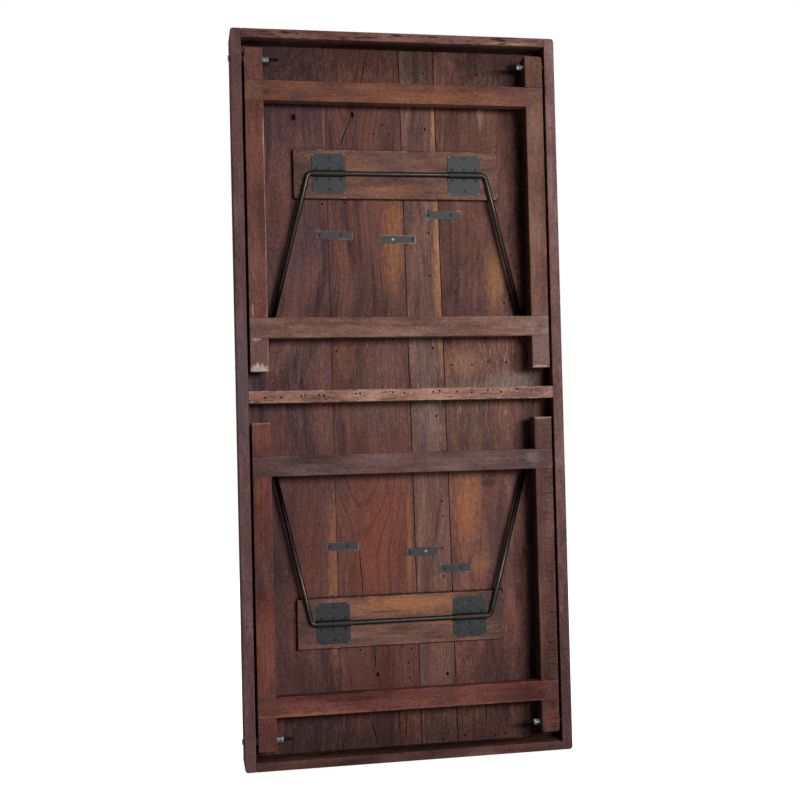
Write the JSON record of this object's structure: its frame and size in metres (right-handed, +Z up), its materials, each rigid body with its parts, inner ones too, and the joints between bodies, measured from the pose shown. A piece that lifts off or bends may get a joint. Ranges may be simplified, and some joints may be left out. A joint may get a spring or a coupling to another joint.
{
  "type": "folding dining table",
  "caption": "Reclaimed hardwood dining table with leg frames that fold on bolts into its apron and rod braces that swing out from saddles to hold them; stored folded on its short end.",
  "frame": {"origin": "centre of the short end that the folded table stands on, at floor level", "axes": "+Z up along the table's length, +Y out of the show face of the planks, -Y out of the underside with the folded legs, +X to the right seen from the underside"},
  "size_m": [0.7606, 0.086, 1.65],
  "materials": {
    "apron_wood": "dark reclaimed hardwood, oiled, worn edges",
    "crossbar_wood": "lighter reclaimed hardwood, nail holes",
    "plank_wood": "dark reclaimed hardwood, oiled, nail holes",
    "leg_wood": "reddish reclaimed hardwood, oiled",
    "cleat_wood": "reclaimed hardwood, oiled",
    "blackened_steel": "blackened mild steel",
    "bolt_steel": "dull steel",
    "zinc_steel": "zinc plated"
  },
  "bodies": {
    "top": {"left_side_rail": "apron_wood", "right_side_rail": "apron_wood", "top_end_rail": "apron_wood", "bottom_end_rail": "apron_wood", "crossbar": "crossbar_wood", "plank_1": "plank_wood", "plank_2": "plank_wood", "plank_3": "plank_wood", "plank_4": "plank_wood", "upper_cleat": "cleat_wood", "lower_cleat": "cleat_wood", "upper_left_saddle": "blackened_steel", "upper_right_saddle": "blackened_steel", "lower_left_saddle": "blackened_steel", "lower_right_saddle": "blackened_steel", "mending_plate_1": "blackened_steel", "mending_plate_2": "blackened_steel", "mending_plate_3": "blackened_steel", "mending_plate_4": "blackened_steel", "mending_plate_5": "blackened_steel", "mending_plate_6": "blackened_steel", "upper_left_pivot_bolt": "bolt_steel", "upper_right_pivot_bolt": "bolt_steel", "lower_left_pivot_bolt": "bolt_steel", "lower_right_pivot_bolt": "bolt_steel", "upper_left_spacer": "bolt_steel", "upper_right_spacer": "bolt_steel", "lower_left_spacer": "bolt_steel", "lower_right_spacer": "bolt_steel", "upper_left_washer": "zinc_steel", "upper_right_washer": "zinc_steel", "lower_left_washer": "zinc_steel", "lower_right_washer": "zinc_steel", "upper_left_nut": "zinc_steel", "upper_right_nut": "zinc_steel", "lower_left_nut": "zinc_steel", "lower_right_nut": "zinc_steel", "upper_left_lock_nut": "zinc_steel", "upper_right_lock_nut": "zinc_steel", "lower_left_lock_nut": "zinc_steel", "lower_right_lock_nut": "zinc_steel"},
    "upper_leg": {"upper_left_post": "leg_wood", "upper_right_post": "leg_wood", "upper_leg_pivot_rail": "leg_wood", "upper_leg_foot_rail": "leg_wood", "upper_left_pivot_lap_screw": "blackened_steel", "upper_right_pivot_lap_screw": "blackened_steel", "upper_left_foot_lap_screw": "blackened_steel", "upper_right_foot_lap_screw": "blackened_steel"},
    "lower_leg": {"lower_left_post": "leg_wood", "lower_right_post": "leg_wood", "lower_leg_pivot_rail": "leg_wood", "lower_leg_foot_rail": "leg_wood", "lower_left_pivot_lap_screw": "blackened_steel", "lower_right_pivot_lap_screw": "blackened_steel", "lower_left_foot_lap_screw": "blackened_steel", "lower_right_foot_lap_screw": "blackened_steel"},
    "upper_brace": {"upper_brace": "blackened_steel"},
    "lower_brace": {"lower_brace": "blackened_steel"}
  },
  "joints": [
    {"name": "upper_leg_fold", "type": "hinge", "parent": "top", "child": "upper_leg", "pos_m": [0, -0.0225, 1.586], "axis": [-1, 0, 0], "range_deg": [0, 90]},
    {"name": "lower_leg_fold", "type": "hinge", "parent": "top", "child": "lower_leg", "pos_m": [0, -0.0225, 0.064], "axis": [1, 0, 0], "range_deg": [0, 90]},
    {"name": "upper_brace_swing", "type": "hinge", "parent": "top", "child": "upper_brace", "pos_m": [0, 0.0029, 1.336], "axis": [-1, 0, 0], "range_deg": [0, 135.2]},
    {"name": "lower_brace_swing", "type": "hinge", "parent": "top", "child": "lower_brace", "pos_m": [0, 0.0029, 0.3095], "axis": [1, 0, 0], "range_deg": [0, 134.6]}
  ],
  "couplings": [
    {"joint": "upper_brace_swing", "follows": "upper_leg_fold", "ratio": 1.501},
    {"joint": "lower_brace_swing", "follows": "lower_leg_fold", "ratio": 1.4952}
  ]
}
